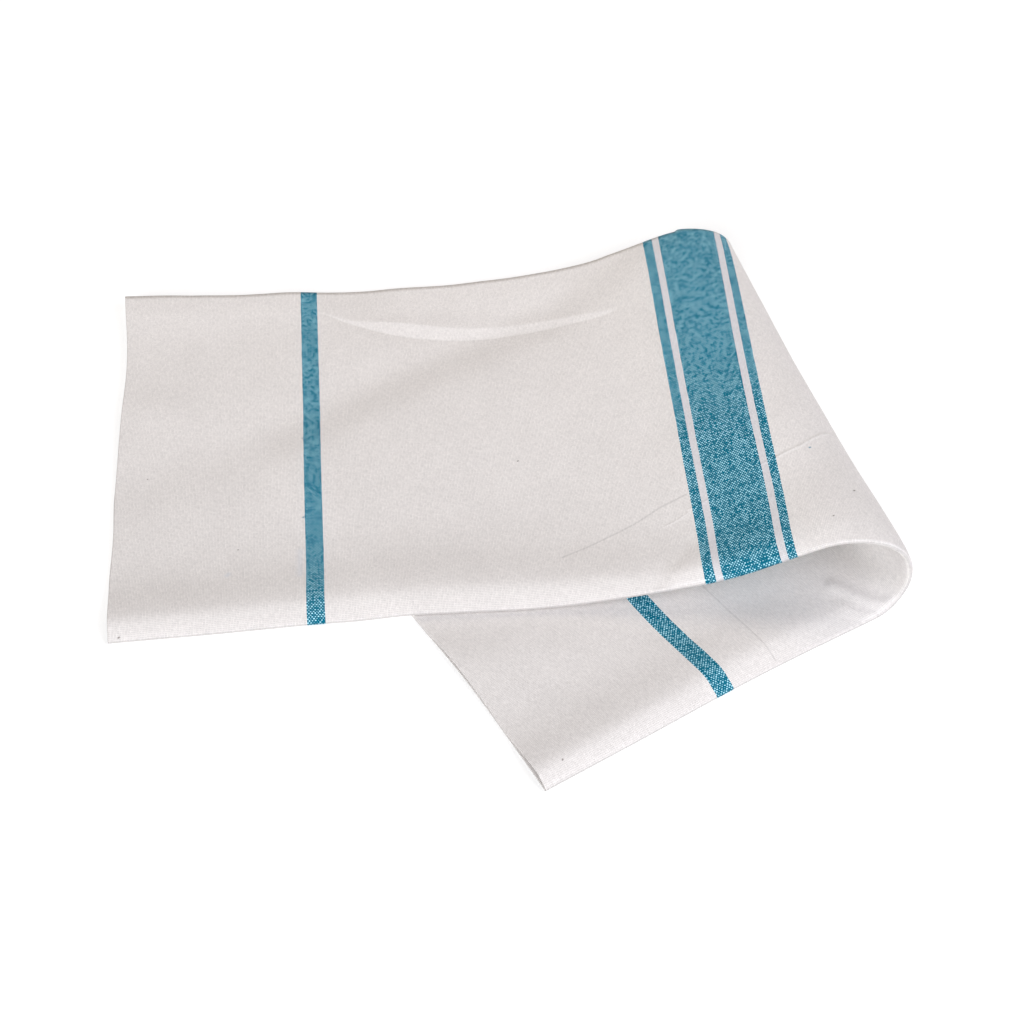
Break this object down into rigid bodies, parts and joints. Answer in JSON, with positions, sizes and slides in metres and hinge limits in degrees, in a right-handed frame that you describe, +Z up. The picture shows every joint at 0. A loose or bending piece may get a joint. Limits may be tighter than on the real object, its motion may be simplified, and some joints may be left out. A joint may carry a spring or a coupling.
{
  "type": "tea towel",
  "caption": "Rectangular woven cotton cloth with stripes, lying folded lengthwise and turned over on a slant in a soft open roll, for drying dishes.",
  "frame": {"origin": "middle of the folded towel's outline seen from above, on the surface it lies on", "axes": "+X runs along the upper limb, from its end towards the roll; +Y runs away from the lengthwise fold; +Z up"},
  "size_m": [0.4364, 0.3748, 0.0514],
  "materials": {
    "cotton": "matte plain weave, off-white with teal woven stripes near the ends and across the middle"
  },
  "bodies": {
    "root": {"towel_cloth": "cotton"}
  },
  "joints": []
}
